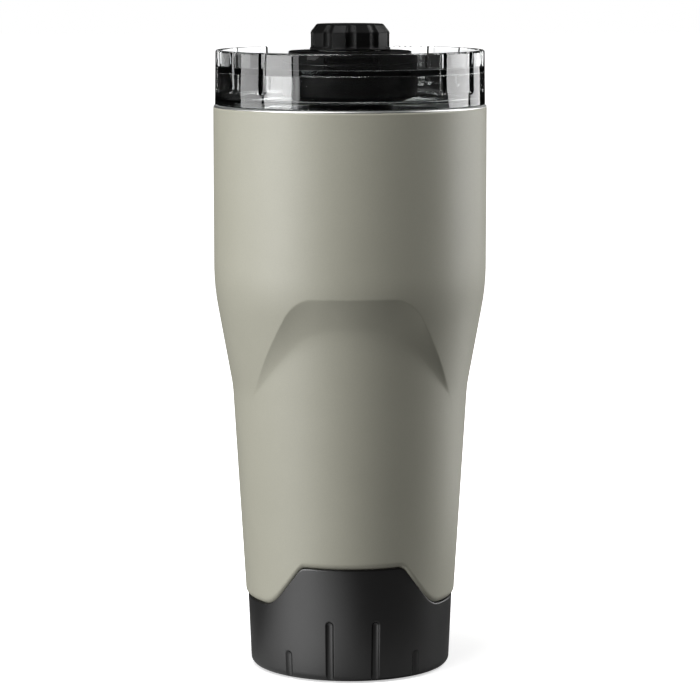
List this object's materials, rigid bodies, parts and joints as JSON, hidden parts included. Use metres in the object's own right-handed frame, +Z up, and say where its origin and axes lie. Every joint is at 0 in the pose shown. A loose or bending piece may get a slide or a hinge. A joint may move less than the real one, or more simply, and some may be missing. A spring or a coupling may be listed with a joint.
{
  "type": "insulated drinks tumbler",
  "caption": "Double-wall steel travel tumbler with thumb ledge, moulded boot and clear press-on lid; turning the lid's knob opens a screw valve to the sip window.",
  "frame": {"origin": "centre of the foot ring's underside, on the table", "axes": "+Z up the tumbler's axis; -Y towards the sip window, the front thumb ledge and the front boot tongue"},
  "size_m": [0.096, 0.096, 0.2278],
  "materials": {
    "body_paint": "fine-grained powder coat, satin",
    "bare_steel": "brushed",
    "seal_metal": "fused bead, dull",
    "getter_grey": "sintered",
    "boot_black": "fine moulded grain, satin",
    "foot_silicone": "matt",
    "clear_lid": "clear, polished",
    "seal_silicone": "satin",
    "valve_black": "satin moulded",
    "mechanism_grey": "moulded",
    "washer_white": "smooth, low friction",
    "knob_black": "soft satin"
  },
  "bodies": {
    "cup": {"outer_shell": "body_paint", "inner_liner": "bare_steel", "base_plate": "bare_steel", "vacuum_seal_bead": "seal_metal", "getter_tablet": "getter_grey", "getter_clip": "bare_steel", "base_boot": "boot_black", "foot_ring": "foot_silicone"},
    "lid": {"lid_shell": "clear_lid", "lid_gasket": "seal_silicone", "valve_housing": "valve_black", "housing_gasket": "seal_silicone", "housing_cover": "valve_black"},
    "knob_assembly": {"knob": "knob_black", "knob_cap": "knob_black", "knob_screw": "bare_steel", "knob_washer": "washer_white", "spindle": "mechanism_grey", "spindle_o_ring": "seal_silicone", "thrust_washer": "washer_white"},
    "plunger_assembly": {"valve_plunger": "mechanism_grey", "plunger_seal": "seal_silicone"}
  },
  "joints": [
    {"name": "lid_lift", "type": "slide", "parent": "cup", "child": "lid", "axis": [0, 0, 1], "range_m": [0, 0.06]},
    {"name": "knob_turn", "type": "hinge", "parent": "lid", "child": "knob_assembly", "pos_m": [0, 0, 0.2135], "axis": [0, 0, 1], "range_deg": [0, 180]},
    {"name": "plunger_travel", "type": "slide", "parent": "lid", "child": "plunger_assembly", "axis": [0, 0, -1], "range_m": [0, 0.0041]}
  ],
  "couplings": [
    {"joint": "plunger_travel", "follows": "knob_turn", "m_per_rad": 0.0012732}
  ]
}
